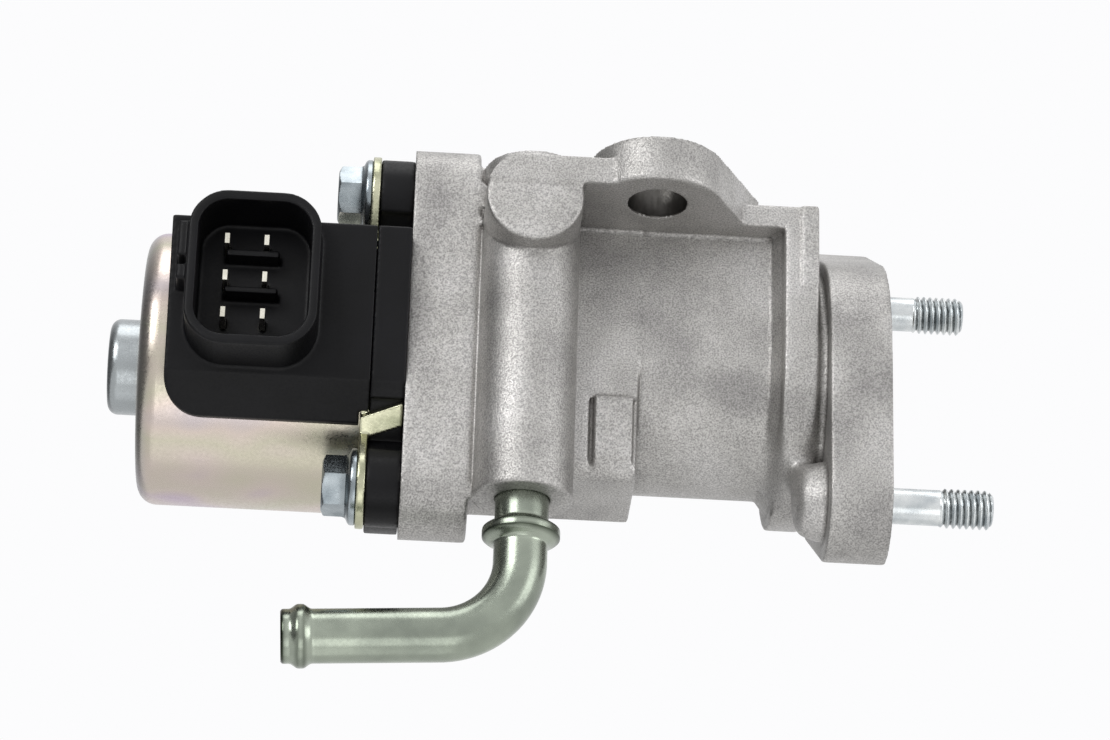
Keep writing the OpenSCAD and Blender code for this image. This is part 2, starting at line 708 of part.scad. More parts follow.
// The bend turns the pipe from straight down towards -X, and the run ends in a hose bead.
// The outside of the bend is a hair thinner than the straight pipe that runs into it.
module pipe_bend_and_run(r, with_bead) {
  extra = with_bead ? 0 : 1;
  bend_r = with_bead ? r - 2 * eps : r;
  lap = with_bead ? pipe_lap : 0;
  translate([-pipe_bend_r, 0, 0]) rotate([-90, 0, 0])
    rotate_extrude(angle = pipe_bend_angle) translate([pipe_bend_r, 0]) circle(r = bend_r);
  translate([-pipe_bend_r, 0, 0]) rotate([0, pipe_bend_angle, 0]) translate([pipe_bend_r, 0, 0]) {
    translate([0, 0, -pipe_run - extra]) cylinder(r = r, h = pipe_run + extra + lap);
    if (with_bead) translate([0, 0, -pipe_run + hose_lip]) rotate_extrude() polygon([
      [r - pipe_wall, 0], [r, 0], [hose_bead_r, hose_bead_l * 0.3], [hose_bead_r, hose_bead_l * 0.5],
      [r, hose_bead_l], [r - pipe_wall, hose_bead_l]
    ]);
  }
}

module base_seal() {
  color("#1d1d1d") rotate([0, 90, 0]) translate([0, 0, motor_face_x + seal_wire_r])
    rotate_extrude() translate([seal_r, 0]) circle(r = seal_wire_r, $fn = 32);
}

module housing_profile() {
  polygon([
    [-housing_front, housing_top], [-housing_front, -housing_crease],
    [-housing_floor_front, -housing_floor], [0, -housing_floor], [0, housing_top]
  ]);
}

// Front view of the connector housing, with its lower left corner rounded
module housing_front_shape() {
  r = housing_corner_r;
  z0 = -housing_floor - 1;
  translate([housing_x0 + r, z0]) square([base_x0 - housing_x0 - r, housing_top - z0 + 1]);
  translate([housing_x0, r - housing_floor]) square([r + 1, housing_top + housing_floor - r + 1]);
  translate([housing_x0 + r, r - housing_floor]) circle(r = r);
}

module motor_base() {
  color("#26262b") difference() {
    union() {
      along_x(base_x0, motor_face_x) {
        circle(r = base_r);
        for (a = [60, 180, 300]) rotate(a) translate([-motor_bolt_r, 0]) {
          circle(r = base_lobe_r);
          translate([0, -base_lobe_r]) square([motor_bolt_r, 2 * base_lobe_r]);
        }
      }
      in_connector() along_x(base_x0, motor_face_x) housing_profile();
      rod_x(spring_space_r - 0.1, motor_face_x - 1, motor_face_x + spigot_l);
      rod_x(hub_boss_r, bearing_x0, base_x0 + 1);
    }
    rod_x(bearing_r, bearing_x0 - 1, bearing_x1);
    rod_x(bearing_bore_r + 1, bearing_x0 - 1, bearing_x1 + 0.8);
    guide_bore();
    at_motor_bolts() rod_x(motor_bolt_d / 2 + 0.3, base_x0 - 1, motor_face_x + 1);
    for (s = [-1, 1]) rotate([s * tab_angle, 0, 0])
      translate([plate_x0, -base_r - tab_room, (s * tab_shift - slot_w) / 2])
      cube([base_t + motor_plate_t + 3, tab_room + 1.2, slot_w]);
  }
}

// Bore with a flat that keeps the screw from turning
module guide_bore() {
  r = screw_r + run_gap;
  along_x(bearing_x1 - 1, motor_face_x + spigot_l + 1) difference() {
    circle(r = r);
    translate([-r, screw_flat + run_gap]) square([2 * r, r]);
  }
}

// The frame of one slanted tab: X leads along it and -Y leads outwards
module on_tab(side) {
  rotate([side * tab_angle, 0, 0]) translate([plate_x0, -base_r, 0]) rotate([0, -side * tab_slant, 0])
    children();
}

module mounting_plate() {
  color("#b3ad7a") difference() {
    union() {
      along_x(plate_x0, base_x0) {
        circle(r = base_r - 1);
        for (a = [60, 180, 300]) rotate(a) translate([-motor_bolt_r, 0]) {
          circle(r = motor_plate_lobe_r);
          translate([0, -motor_plate_lobe_r]) square([motor_bolt_r, 2 * motor_plate_lobe_r]);
        }
      }
      intersection() {
        for (s = [-1, 1]) on_tab(s)
          translate([-1, -0.1, -tab_w / 2]) cube([tab_l + 2, motor_plate_t, tab_w]);
        rod_x(base_r + tab_room, plate_x0, plate_x0 + tab_l);
      }
      for (s = [-1, 1]) rotate([s * tab_angle, 0, 0])
        translate([plate_x0, -base_r - 0.1, -tab_w / 2]) cube([motor_plate_t, 3, tab_w]);
    }
    rod_x(hub_boss_r + 0.05, plate_x0 - 1, base_x0 + 1);
    at_motor_bolts() rod_x(motor_bolt_d / 2 + 0.3, plate_x0 - 1, base_x0 + 1);
  }
}

module motor_bolts() {
  color("#c3cad0") at_motor_bolts() {
    rod_x(motor_bolt_d / 2, plate_x0 - 1, motor_face_x + motor_bolt_in - 0.5);
    rod_x(motor_bolt_flange_d / 2, plate_x0 - motor_bolt_flange_t, plate_x0);
    translate([plate_x0 - motor_bolt_flange_t - motor_bolt_head, 0, 0]) rotate([0, 90, 0]) rotate(30)
      cylinder(d = motor_bolt_af / cos(30), h = motor_bolt_head + 0.5, $fn = 6);
  }
}

module motor_can() {
  r0 = can_r - can_wall;
  e = can_edge_r;
  be = can_boss_edge_r;
  color("#c8b4b4") difference() {
    rotate([90, 0, 90]) rotate_extrude() difference() {
      union() {
        translate([0, can_x0]) square([can_r - e, can_l]);
        translate([0, can_x0 + e]) square([can_r, can_l - e]);
        translate([can_r - e, can_x0 + e]) circle(r = e);
        translate([0, can_end_x]) square([can_boss_r - be, can_boss_l + 1]);
        translate([0, can_end_x + be]) square([can_boss_r, can_boss_l]);
        translate([can_boss_r - be, can_end_x + be]) circle(r = be);
      }
      translate([-can_r, can_end_x - 1]) square([can_r, can_l + can_boss_l + 2]);
      translate([0, stack_x0]) square([r0, can_l]);
      translate([0, bush_x0]) square([bush_r, can_boss_l]);
    }
    // window for the coil leads
    on_socket(socket_x, socket_z) translate([0, 0, can_r / 2])
      linear_extrude(can_r) square(window_w, center = true);
  }
}

module rear_bush() {
  color("#9c7f4e") tube_x(bush_r, journal_r + run_gap, bush_x0, bush_x1 - 0.3);
}

module wave_washer() {
  color("#b9b9b9") tube_x(washer_r, journal_r + 0.3, bush_x1 - washer_t, bush_x1);
}

module rotor_hub() {
  color("#d9d4c4") difference() {
    union() {
      rod_x(journal_r, bush_x0 + clear, hub_x0 + 1);
      rod_x(magnet_bore_r, hub_x0, magnet_x1 + 0.4);
      rod_x(bearing_bore_r, magnet_x1, bearing_x1 + 0.3);
    }
    rod_x(screw_r + run_gap, hub_x0 - 2, bearing_x1 + 1);
  }
}

module rotor_magnet() {
  color("#4a4648") tube_x(magnet_r, magnet_bore_r, magnet_x0, magnet_x1);
}

module bearing_ring(r0, r1) {
  race_r = (bearing_r + bearing_bore_r) / 2;
  rotate([90, 0, 90]) rotate_extrude() difference() {
    translate([r0, bearing_x0]) square([r1 - r0, bearing_w]);
    translate([race_r, (bearing_x0 + bearing_x1) / 2]) circle(r = 1.22, $fn = 48);
  }
}

module bearing_inner_ring() {
  color("#c9ccce") bearing_ring(bearing_bore_r, bearing_bore_r + 1.3);
}

module bearing_outer_ring() {
  color("#c9ccce") bearing_ring(bearing_r - 1.3, bearing_r);
}

module bearing_balls() {
  race_r = (bearing_r + bearing_bore_r) / 2;
  color("#dfe2e4") for (i = [0 : bearing_balls_n - 1]) rotate([i * 360 / bearing_balls_n, 0, 0])
    translate([(bearing_x0 + bearing_x1) / 2, race_r, 0]) sphere(r = 1.15, $fn = 32);
}

module lead_screw() {
  flat_x0 = bearing_x1 - 1 - lift;
  color("#b5b8ba") difference() {
    union() {
      rod_x(screw_r, hub_x0 + 1, screw_tip_x - 1);
      turned_x([[0, screw_tip_x - 2], [screw_r, screw_tip_x - 1.2], [screw_r - 0.9, screw_tip_x],
        [0, screw_tip_x]]);
    }
    along_x(flat_x0, screw_tip_x + 1) translate([-screw_r - 1, screw_flat])
      square([2 * screw_r + 2, screw_r]);
  }
}

// A ring plate at x with teeth that reach along X by the signed length
module yoke(x, reach, turn) {
  ring_r = can_r - can_wall;
  tube_x(ring_r, yoke_r, x, x + yoke_t);
  for (i = [0 : yoke_teeth - 1]) rotate([turn + i * 360 / yoke_teeth, 0, 0])
    translate([reach > 0 ? x : x + yoke_t + reach, yoke_r, -tooth_w / 2])
      cube([abs(reach), tooth_t, tooth_w]);
}

module rear_outer_yoke() {
  color("#8f9296") yoke(rear_yoke_x0, tooth_l, 0);
}

module rear_inner_yoke() {
  color("#8f9296") yoke(stack_x0 + phase_l - yoke_t, -tooth_l, tooth_turn);
}

module front_inner_yoke() {
  color("#8f9296") yoke(stack_x0 + phase_l, tooth_l, tooth_turn / 2);
}

module front_outer_yoke() {
  color("#8f9296") yoke(plate_x0 - yoke_t, -tooth_l, tooth_turn * 1.5);
}

module bobbin(x0, x1) {
  tube_x(bobbin_r1, coil_r0, x0, x0 + bobbin_wall);
  tube_x(bobbin_r1, coil_r0, x1 - bobbin_wall, x1);
  tube_x(coil_r0, coil_r0 - bobbin_wall, x0, x1);
}

module coil(x0, x1) {
  tube_x(bobbin_r1 - 0.8, coil_r0, x0 + bobbin_wall, x1 - bobbin_wall);
}

module rear_bobbin() {
  color("#d8d2c0") bobbin(rear_bobbin_x0, rear_bobbin_x1);
}

module front_bobbin() {
  color("#d8d2c0") bobbin(front_bobbin_x0, front_bobbin_x1);
}

module rear_coil() {
  color("#b5652d") coil(rear_bobbin_x0, rear_bobbin_x1);
}

module front_coil() {
  color("#b5652d") coil(front_bobbin_x0, front_bobbin_x1);
}

// Places children with their z axis out of the socket and their y axis up
module on_socket(x, z) {
  rotate([socket_tilt, 0, 0]) translate([x, 0, z]) rotate([90, 0, 0]) children();
}

module connector_housing() {
  color("#232328") difference() {
    union() {
      difference() {
        union() {
          in_connector() intersection() {
            along_x(housing_x0, base_x0) housing_profile();
            translate([0, 1, 0]) rotate([90, 0, 0]) linear_extrude(housing_front + 2) housing_front_shape();
          }
          on_socket(socket_x, socket_z) linear_extrude(socket_rim)
            rounded_rect(socket_w, socket_h, socket_corner_r);
          // lock tabs on the left side: [height above the middle, length]
          for (tab = [[4.9, 5.6], [-0.4, 2.4]])
            on_socket(socket_x - (socket_w + lock_reach - lock_in) / 2, socket_z + tab[0])
              translate([0, 0, can_r]) linear_extrude(socket_rim - can_r - 2)
                square([lock_reach + lock_in, tab[1]], center = true);
        }
        rod_x(can_r, housing_x0 - 1, plate_x0);
        rod_x(base_r - 1, plate_x0 - eps, base_x0 + 1);
        // pockets for the tabs and the ears of the steel plate, with room for the bolt heads
        for (s = [-1, 1]) rotate([s * tab_angle, 0, 0])
          translate([plate_x0 - plate_gap, -base_r - tab_room, -tab_w / 2 - plate_gap - tab_lean])
            cube([motor_plate_t + 1, 2 * tab_room, tab_w + 2 * (plate_gap + tab_lean)]);
        for (a = [60, 300]) rotate([a, 0, 0]) translate([0, -motor_bolt_r, 0])
          rod_x(motor_plate_lobe_r + plate_gap, plate_x0 - bolt_room, base_x0 + 1);
      }
      // foot that carries the leads through the can
      on_socket(socket_x, socket_z) translate([0, 0, can_r - foot_in])
        linear_extrude(foot_in + 1) square(lead_w, center = true);
    }
    on_socket(socket_x, socket_z) translate([0, 0, socket_base])
      linear_extrude(socket_rim) rounded_rect(socket_w - 2 * socket_wall, socket_h - 2 * socket_wall,
        socket_corner_r - socket_wall);
    pin_shapes(socket_base - pin_root, socket_base + 1);
  }
  color("#232328") for (row = [0, 1])
    on_socket(socket_x + pin_offset + rib_shift, socket_z + pin_rise + row * pin_pitch_z - rib_drop)
      translate([0, 0, socket_base - eps])
        linear_extrude(pin_tip - socket_base - rib_back) square([rib_w, rib_h], center = true);
}

module pin_shapes(y0, y1) {
  for (ix = [-0.5, 0.5], iz = [-1, 0, 1]) {
    on_socket(socket_x + pin_offset + ix * pin_pitch_x, socket_z + pin_rise + iz * pin_pitch_z)
      translate([0, 0, y0]) linear_extrude(y1 - y0) square([pin_w, pin_h], center = true);
  }
}

module terminal_pins() {
  color("#d8d9d2") pin_shapes(socket_base - pin_root, pin_tip);
}

valve_body();
valve_seat();
valve_head();
valve_stem();
stem_guide();
stem_seal();
seal_cup();
return_spring();
spring_retainer();
inlet_studs();
coolant_pipe();
base_seal();
motor_base();
mounting_plate();
motor_bolts();
motor_can();
rear_bush();
wave_washer();
rotor_hub();
rotor_magnet();
bearing_inner_ring();
bearing_balls();
bearing_outer_ring();
lead_screw();
rear_outer_yoke();
rear_inner_yoke();
front_inner_yoke();
front_outer_yoke();
rear_bobbin();
front_bobbin();
rear_coil();
front_coil();
connector_housing();
terminal_pins();
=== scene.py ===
# %% [markdown]
# # An exhaust gas recirculation valve, dressed for a product picture
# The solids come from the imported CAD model, in metres, with the inlet flange at the origin and the
# valve axis along X. Each cell below adds one piece or one finish. A value in millimetres is turned
# to metres by MM, so that the numbers read like those on a drawing.

# %% Load the solids
import math
import bmesh
import bpy
import numpy as np
from mathutils import Matrix, Vector


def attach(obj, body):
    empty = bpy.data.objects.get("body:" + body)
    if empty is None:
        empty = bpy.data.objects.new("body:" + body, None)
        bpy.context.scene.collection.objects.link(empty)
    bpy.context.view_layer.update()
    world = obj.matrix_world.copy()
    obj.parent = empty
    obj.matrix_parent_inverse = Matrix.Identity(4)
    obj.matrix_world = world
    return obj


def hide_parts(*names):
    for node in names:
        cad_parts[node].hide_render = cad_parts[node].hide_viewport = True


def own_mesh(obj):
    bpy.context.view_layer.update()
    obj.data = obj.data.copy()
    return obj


MM = 0.001
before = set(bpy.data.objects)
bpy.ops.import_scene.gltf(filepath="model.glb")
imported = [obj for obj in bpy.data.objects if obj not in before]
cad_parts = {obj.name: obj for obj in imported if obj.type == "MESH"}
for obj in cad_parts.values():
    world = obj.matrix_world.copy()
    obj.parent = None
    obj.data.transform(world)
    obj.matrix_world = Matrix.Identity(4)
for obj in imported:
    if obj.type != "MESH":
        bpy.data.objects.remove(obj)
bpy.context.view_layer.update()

# %% [markdown]
# ## Camera
# The picture was taken with a long lens from below the valve, turned a little to its left. Fixing the
# camera first means that every later choice can be checked against the picture. The frame is taken as
# 1110 by 740, and the lens follows from the focal length in pixels.

# %% Place the camera
PICTURE_WIDTH = 1110
FOCAL_PIXELS = 4080
SENSOR = 36.0
azimuth, elevation, roll = math.radians(-2.7), math.radians(-25.5), math.radians(1.8)
DISTANCE = 634 * MM
AIM_X, AIM_ABOVE_AXIS = -49.8 * MM, 3 * MM
backward = Vector((math.sin(azimuth) * math.cos(elevation), -math.cos(azimuth) * math.cos(elevation),
                   math.sin(elevation)))
level_right = Vector((math.cos(azimuth), math.sin(azimuth), 0))
level_up = backward.cross(level_right)
camera_right = level_right * math.cos(roll) + level_up * math.sin(roll)
camera_up = level_up * math.cos(roll) - level_right * math.sin(roll)
aim = Vector((AIM_X, 0, 0)) + camera_up * AIM_ABOVE_AXIS
camera_data = bpy.data.cameras.new("camera")
camera_data.sensor_width = SENSOR
camera_data.lens = FOCAL_PIXELS / PICTURE_WIDTH * SENSOR
camera = bpy.data.objects.new("camera", camera_data)
bpy.context.collection.objects.link(camera)
turn = Matrix((camera_right, camera_up, backward)).transposed().to_4x4()
camera.matrix_world = Matrix.Translation(aim + backward * DISTANCE) @ turn
bpy.context.scene.camera = camera
bpy.context.scene.view_settings.view_transform = "Standard"
print("lens in mm:", round(camera_data.lens, 1), "camera at:", [round(v, 3) for v in camera.location])

# %% [markdown]
# ## Colours and nodes
# Screen colours are written in hex and turned to the linear values that the shaders work in. One small
# function adds any node, sets it up and links it, so each finish below reads as a list of steps. Where a
# node has several sockets of one name, as Mix has, they are given by their number.

# %% Helpers for finishes
def linear(hex_colour):
    values = [int(hex_colour[i:i + 2], 16) / 255 for i in (1, 3, 5)]
    return tuple(v / 12.92 if v <= 0.04045 else ((v + 0.055) / 1.055) ** 2.4 for v in values) + (1.0,)


def add_node(tree, kind, inputs=None, stops=(), **settings):
    """Adds a node with its settings and links. A ramp's stops are (position, hex colour)."""
    node = tree.nodes.new(kind)
    for key, value in settings.items():
        setattr(node, key, value)
    if stops:
        elements = node.color_ramp.elements
        while len(elements) < len(stops):
            elements.new(0.5)
        for element, (position, colour) in zip(elements, stops):
            element.position = position
            element.color = linear(colour)
    for key, value in (inputs or {}).items():
        if isinstance(value, bpy.types.NodeSocket):
            tree.links.new(value, node.inputs[key])
        else:
            node.inputs[key].default_value = value
    return node


def start_finish(name):
    """An empty finish with its shader, and the place on the object in metres."""
    material = bpy.data.materials.new(name)
    material.use_nodes = True
    tree = material.node_tree
    shader = tree.nodes["Principled BSDF"]
    place = add_node(tree, "ShaderNodeTexCoord").outputs["Object"]
    return material, tree, shader, place


def per_metre(size_mm):
    """The texture scale at which one feature of the pattern is about this many millimetres."""
    return 1 / (size_mm * MM)


print("helpers for finishes are ready; white is", linear("#ffffff"))

# %% [markdown]
# ## Cast aluminium
# The body is sand-textured die-cast aluminium, blasted after casting. To the eye that is a light
# neutral grey metal with soft highlights, a fine grain about a quarter of a millimetre wide, small
# pits, and cloudy darker areas a centimetre across where the metal cooled differently.

# %% Make the cast aluminium
# the numbers of Mix's sockets for colours, and of its colour output
MIX_AMOUNT, MIX_FIRST, MIX_SECOND, MIXED = 0, 6, 7, 2


def paint_crevice_shade(tree, colour, darkest_shade):
    """Darkens a colour in inner corners, where less light falls: painted shade."""
    bend = add_node(tree, "ShaderNodeNewGeometry").outputs["Pointiness"]
    shade = add_node(tree, "ShaderNodeValToRGB", {"Fac": bend}, [(0.45, darkest_shade), (0.497, "#ffffff")])
    return add_node(tree, "ShaderNodeMix",
                    {MIX_AMOUNT: 1, MIX_FIRST: colour, MIX_SECOND: shade.outputs["Color"]},
                    data_type="RGBA", blend_type="MULTIPLY").outputs[MIXED]


def make_cast_aluminium():
    material, tree, shader, place = start_finish("cast_aluminium_blasted")
    cloud = add_node(tree, "ShaderNodeTexNoise",
                     {"Vector": place, "Scale": per_metre(13), "Detail": 5})
    grain = add_node(tree, "ShaderNodeTexNoise",
                     {"Vector": place, "Scale": per_metre(0.26), "Detail": 3})
    pits = add_node(tree, "ShaderNodeTexVoronoi", {"Vector": place, "Scale": per_metre(0.9)})
    uneven = add_node(tree, "ShaderNodeTexNoise",
                      {"Vector": place, "Scale": per_metre(4), "Detail": 3})
    base = add_node(tree, "ShaderNodeValToRGB", {"Fac": cloud.outputs["Fac"]},
                    [(0.32, "#a9a7a5"), (0.5, "#c1bfbc"), (0.68, "#d0cecc")])
    speckle = add_node(tree, "ShaderNodeValToRGB", {"Fac": grain.outputs["Fac"]},
                       [(0.34, "#a4a4a5"), (0.5, "#dadada"), (0.62, "#fdfdfd")])
    speckled = add_node(tree, "ShaderNodeMix",
                        {MIX_AMOUNT: 0.7, MIX_FIRST: base.outputs["Color"],
                         MIX_SECOND: speckle.outputs["Color"]},
                        data_type="RGBA", blend_type="MULTIPLY").outputs[MIXED]
    # painted shade in the inner corners of the casting
    colour = paint_crevice_shade(tree, speckled, "#a3a19f")
    rough = add_node(tree, "ShaderNodeMapRange", {"Value": grain.outputs["Fac"], "From Min": 0.3,
                                                  "From Max": 0.7, "To Min": 0.56, "To Max": 0.4})
    shader.inputs["Metallic"].default_value = 0.9
    tree.links.new(colour, shader.inputs["Base Color"])
    tree.links.new(rough.outputs["Result"], shader.inputs["Roughness"])
    low = add_node(tree, "ShaderNodeBump", {"Height": uneven.outputs["Fac"], "Distance": 0.2 * MM,
                                            "Strength": 0.5})
    middle = add_node(tree, "ShaderNodeBump", {"Height": pits.outputs["Distance"], "Distance": 0.04 * MM,
                                               "Strength": 0.5, "Normal": low.outputs["Normal"]})
    fine = add_node(tree, "ShaderNodeBump", {"Height": grain.outputs["Fac"], "Distance": 0.08 * MM,
                                             "Strength": 0.9, "Normal": middle.outputs["Normal"]})
    tree.links.new(fine.outputs["Normal"], shader.inputs["Normal"])
    return material


cast_aluminium = make_cast_aluminium()
print("finish:", cast_aluminium.name)

# %% [markdown]
# ## Metals and plastics of the small parts
# Most other parts share one recipe: two close colours clouded into each other, a fine grain, and
# roughness and relief from the same grain. The numbers make each its own finish. Real grain that is
# too fine to show is drawn about a quarter of a millimetre wide, the smallest that the picture holds.

# %% One recipe for the plain finishes
def make_plain(name, dark, light, metallic, roughness, cloud_mm, grain_mm, relief_mm,
               stretch=(1, 1, 1), shine=0.5, crevice_shade=None):
    material, tree, shader, place = start_finish(name)
    drawn = add_node(tree, "ShaderNodeMapping", {"Vector": place, "Scale": stretch}).outputs["Vector"]
    cloud = add_node(tree, "ShaderNodeTexNoise",
                     {"Vector": place, "Scale": per_metre(cloud_mm), "Detail": 3})
    grain = add_node(tree, "ShaderNodeTexNoise",
                     {"Vector": drawn, "Scale": per_metre(grain_mm), "Detail": 2})
    colour = add_node(tree, "ShaderNodeValToRGB", {"Fac": cloud.outputs["Fac"]},
                      [(0.32, dark), (0.68, light)]).outputs["Color"]
    # painted shade in inner corners, for the finishes that ask for it
    if crevice_shade:
        colour = paint_crevice_shade(tree, colour, crevice_shade)
    tree.links.new(colour, shader.inputs["Base Color"])
    rough = add_node(tree, "ShaderNodeMapRange", {"Value": grain.outputs["Fac"], "From Min": 0.3,
                     "From Max": 0.7, "To Min": roughness * 0.8, "To Max": min(1, roughness * 1.2)})
    tree.links.new(rough.outputs["Result"], shader.inputs["Roughness"])
    bump = add_node(tree, "ShaderNodeBump", {"Height": grain.outputs["Fac"], "Distance": relief_mm * MM,
                                             "Strength": 0.6})
    tree.links.new(bump.outputs["Normal"], shader.inputs["Normal"])
    shader.inputs["Metallic"].default_value = metallic
    shader.inputs["Specular IOR Level"].default_value = shine
    return material


# %% Name each plain finish
# turned face of the casting: brighter and smoother than the skin, with fine tool marks
machined_aluminium = make_plain("machined_aluminium", "#b3b2ae", "#cac9c5", 1, 0.32, 9, 0.5, 0.02)
# wall of a drilled hole, with tool marks; its dark colour is painted shade inside the hole
hole_shade_aluminium = make_plain("hole_shade_aluminium", "#54524f", "#6a6865", 1, 0.38, 4, 0.3, 0.03)
# bright zinc plate on the studs: cool white metal, with painted shade in the roots of the thread
bright_zinc = make_plain("bright_zinc_plate", "#b9bfc2", "#dfe2e2", 1, 0.3, 3, 0.35, 0.012,
                         crevice_shade="#2e3634")
# blue zinc plate on the bolts: darker and slightly blue
bolt_zinc = make_plain("blue_zinc_plate", "#848d92", "#a9b1b5", 1, 0.26, 3, 0.35, 0.01)
# zinc-plated steel tube: greenish grey, drawn along its length, with soft streaks, and painted shade in
# its inner corners
pipe_zinc = make_plain("zinc_plated_tube", "#8d9489", "#aab2a4", 1, 0.27, 7, 0.4, 0.01,
                       crevice_shade="#5c6258")
# yellow chromate on pressed steel: greenish straw colour
plate_zinc = make_plain("yellow_chromate_plate", "#9c9e84", "#d0cfb4", 1, 0.3, 4, 0.4, 0.015)
# glass-filled nylon, moulded: near black with a slight blue, matt with a soft sheen
black_plastic = make_plain("black_moulded_nylon", "#08080a", "#0f0f12", 0, 0.45, 8, 0.3, 0.01,
                           shine=0.2)
# nylon of rotor hub and bobbins: ivory, moulded
pale_plastic = make_plain("ivory_moulded_nylon", "#cfc8b4", "#e2dccb", 0, 0.45, 6, 0.35, 0.012)
# nitrile rubber seals: dull black
seal_rubber = make_plain("nitrile_rubber", "#161616", "#242424", 0, 0.7, 5, 0.4, 0.02)
# sintered bronze bushes: warm brown gold, open grain
bronze = make_plain("sintered_bronze", "#8e6c3a", "#b58e54", 1, 0.42, 3, 0.3, 0.03)
# stainless valve and seat: grey with fine turning marks
valve_steel = make_plain("stainless_valve_steel", "#8a8984", "#aeaca6", 1, 0.33, 5, 0.3, 0.015)
# ground bearing steel and the screw: bright neutral grey
bright_steel = make_plain("ground_steel", "#b9bcbe", "#d6d8d9", 1, 0.18, 5, 0.3, 0.006)
# patented spring wire: darker grey, drawn
spring_steel = make_plain("spring_wire", "#77787a", "#9b9c9e", 1, 0.3, 4, 0.3, 0.01)
# bonded ferrite ring: dark brown grey, matt
ferrite = make_plain("bonded_ferrite", "#2e2a2b", "#464144", 0.2, 0.6, 4, 0.35, 0.03)
# pole plates: cold rolled soft iron with a thin plating
pole_iron = make_plain("plated_soft_iron", "#85898d", "#a5a9ac", 1, 0.36, 5, 0.4, 0.012)
# enamelled copper wire in close layers: the stretch draws the wires round the coil
copper_wire = make_plain("enamelled_copper", "#8e4720", "#c4763c", 1, 0.35, 4, 0.3, 0.06,
                         stretch=(6, 0.3, 0.3))
# tinned blades of the socket: pale warm metal
tinned = make_plain("tinned_brass", "#c9c6b8", "#ebe8dc", 1, 0.3, 2, 0.3, 0.008)
print("plain finishes:", len(bpy.data.materials))

# %% [markdown]
# ## Yellow chromate on the motor can
# The can is deep-drawn steel with a thin chromate film. The film is so thin that it splits light, so
# the metal shows straw, pink and violet patches that drift over a centimetre or two. The patches are
# a slow noise that picks from a ramp of those colours, lightly stretched along the draw direction.
# The bearing boss at the closed end gets a bluish grey painted reflection in place of the film colours.

# %% Make the can finish
CAN_END_X = -113.5 * MM


def make_can_zinc():
    material, tree, shader, place = start_finish("iridescent_chromate")
    drawn = add_node(tree, "ShaderNodeMapping", {"Vector": place, "Scale": (0.6, 1, 1.3)})
    drift = add_node(tree, "ShaderNodeTexNoise",
                     {"Vector": drawn.outputs["Vector"], "Scale": per_metre(17), "Detail": 2})
    grain = add_node(tree, "ShaderNodeTexNoise",
                     {"Vector": place, "Scale": per_metre(0.45), "Detail": 2})
    film = add_node(tree, "ShaderNodeValToRGB", {"Fac": drift.outputs["Fac"]},
                    [(0.28, "#b5a3ba"), (0.40, "#c6bab2"), (0.5, "#bfbaa8"), (0.6, "#c9bcb3"),
                     (0.74, "#b3adb6")])
    along = add_node(tree, "ShaderNodeSeparateXYZ", {"Vector": place}).outputs["X"]
    # painted reflection: towards the closed end the film colours give way to bluish grey
    boss_reflection = add_node(tree, "ShaderNodeMapRange", {"Value": along, "From Min": CAN_END_X + 2 * MM,
                                                    "From Max": CAN_END_X - 1 * MM})
    colour = add_node(tree, "ShaderNodeMix",
                      {MIX_AMOUNT: boss_reflection.outputs["Result"], MIX_FIRST: film.outputs["Color"],
                       MIX_SECOND: linear("#a3a8aa")}, data_type="RGBA").outputs[MIXED]
    tree.links.new(colour, shader.inputs["Base Color"])
    rough = add_node(tree, "ShaderNodeMapRange", {"Value": grain.outputs["Fac"], "From Min": 0.3,
                     "From Max": 0.7, "To Min": 0.24, "To Max": 0.36})
    tree.links.new(rough.outputs["Result"], shader.inputs["Roughness"])
    bump = add_node(tree, "ShaderNodeBump", {"Height": grain.outputs["Fac"], "Distance": 0.015 * MM,
                                             "Strength": 0.6})
    tree.links.new(bump.outputs["Normal"], shader.inputs["Normal"])
    shader.inputs["Metallic"].default_value = 1
    return material


can_zinc = make_can_zinc()
print("finish:", can_zinc.name)

# %% [markdown]
# ## Finishes for the solids that stay
# Parts whose CAD shape is already right keep it, and only get their finish.

# %% Dress the solids
SOLID_FINISHES = {
    "valve_seat": valve_steel, "valve_head": valve_steel, "valve_stem": valve_steel,
    "stem_guide": bronze, "stem_seal": seal_rubber, "seal_cup": bright_steel,
    "return_spring": spring_steel, "spring_retainer": bright_steel, "base_seal": seal_rubber,
    "motor_can": can_zinc, "rear_bush": bronze, "wave_washer": spring_steel,
    "rotor_hub": pale_plastic, "rotor_magnet": ferrite, "bearing_inner_ring": bright_steel,
    "bearing_balls": bright_steel, "bearing_outer_ring": bright_steel, "lead_screw": bright_steel,
    "rear_outer_yoke": pole_iron, "rear_inner_yoke": pole_iron, "front_inner_yoke": pole_iron,
    "front_outer_yoke": pole_iron, "rear_bobbin": pale_plastic, "front_bobbin": pale_plastic,
    "rear_coil": copper_wire, "front_coil": copper_wire, "terminal_pins": tinned,
}
for node, finish in SOLID_FINISHES.items():
    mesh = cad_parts[node].data
    if not mesh.materials:
        mesh.materials.append(finish)
    for i in range(len(mesh.materials)):
        mesh.materials[i] = finish
print("solids dressed:", len(SOLID_FINISHES), "of", len(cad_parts))

# %% [markdown]
# ## Tools for new pieces
# New pieces are grids of points: a ring of points at each step along a line, joined to the next ring.

